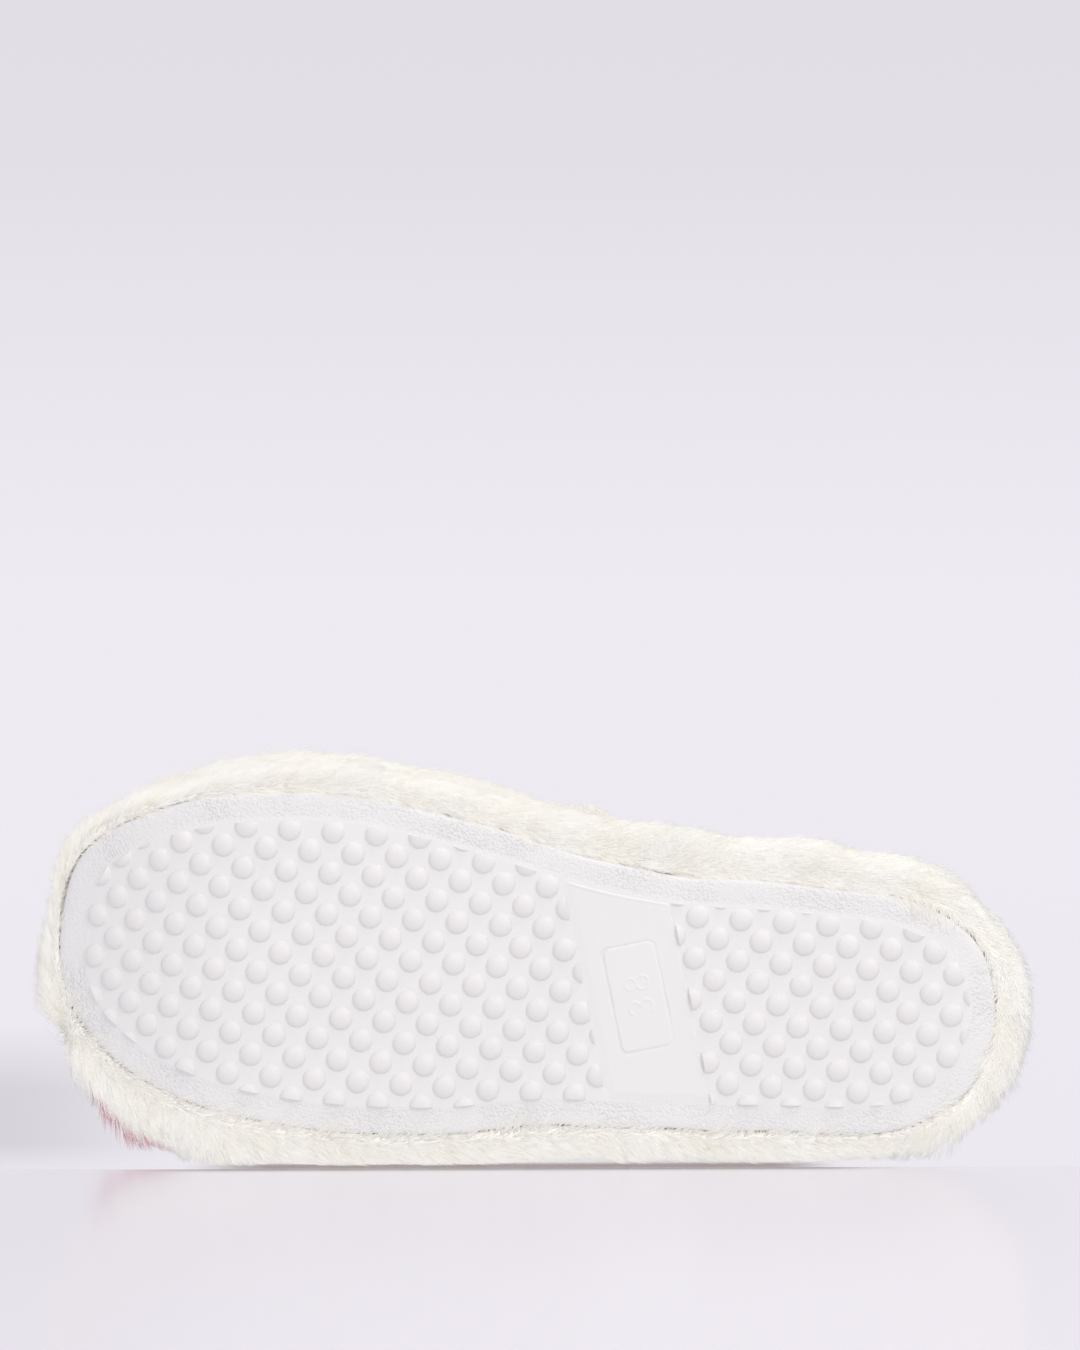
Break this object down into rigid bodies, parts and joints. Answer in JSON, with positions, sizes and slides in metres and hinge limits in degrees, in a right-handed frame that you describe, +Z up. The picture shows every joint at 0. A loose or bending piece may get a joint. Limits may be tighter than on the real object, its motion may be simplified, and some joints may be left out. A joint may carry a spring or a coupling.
{
  "type": "fluffy house slipper",
  "caption": "Fluffy closed-toe, open-back house slipper with a studded moulded outsole, a fur-wrapped foam footbed and a plush-lined fur vamp.",
  "frame": {"origin": "middle of the overall box, on the ground under the outsole's dots", "axes": "+Z up from the ground, -Y towards the toe, +X towards the inner side of the right foot"},
  "size_m": [0.1096, 0.2638, 0.0853],
  "materials": {
    "outsole_rubber": "matte moulded, fine stipple on the border",
    "foam": "open-cell foam",
    "board": "pressed fibre board",
    "cream_plush": "short plush",
    "cream_fur": "combed faux fur",
    "patched_fur": "faux fur, cream with crimson-pink patches",
    "thread": "sewing thread"
  },
  "bodies": {
    "root": {"outsole": "outsole_rubber", "midsole_foam": "foam", "insole_board": "board", "footbed_pad": "foam", "footbed_cover": "cream_plush", "rim_band": "cream_fur", "rim_seam_thread": "thread", "perimeter_thread": "thread", "vamp_lining": "cream_plush", "vamp_foam": "foam", "vamp_fur": "patched_fur", "topline_binding": "cream_plush"}
  },
  "joints": []
}
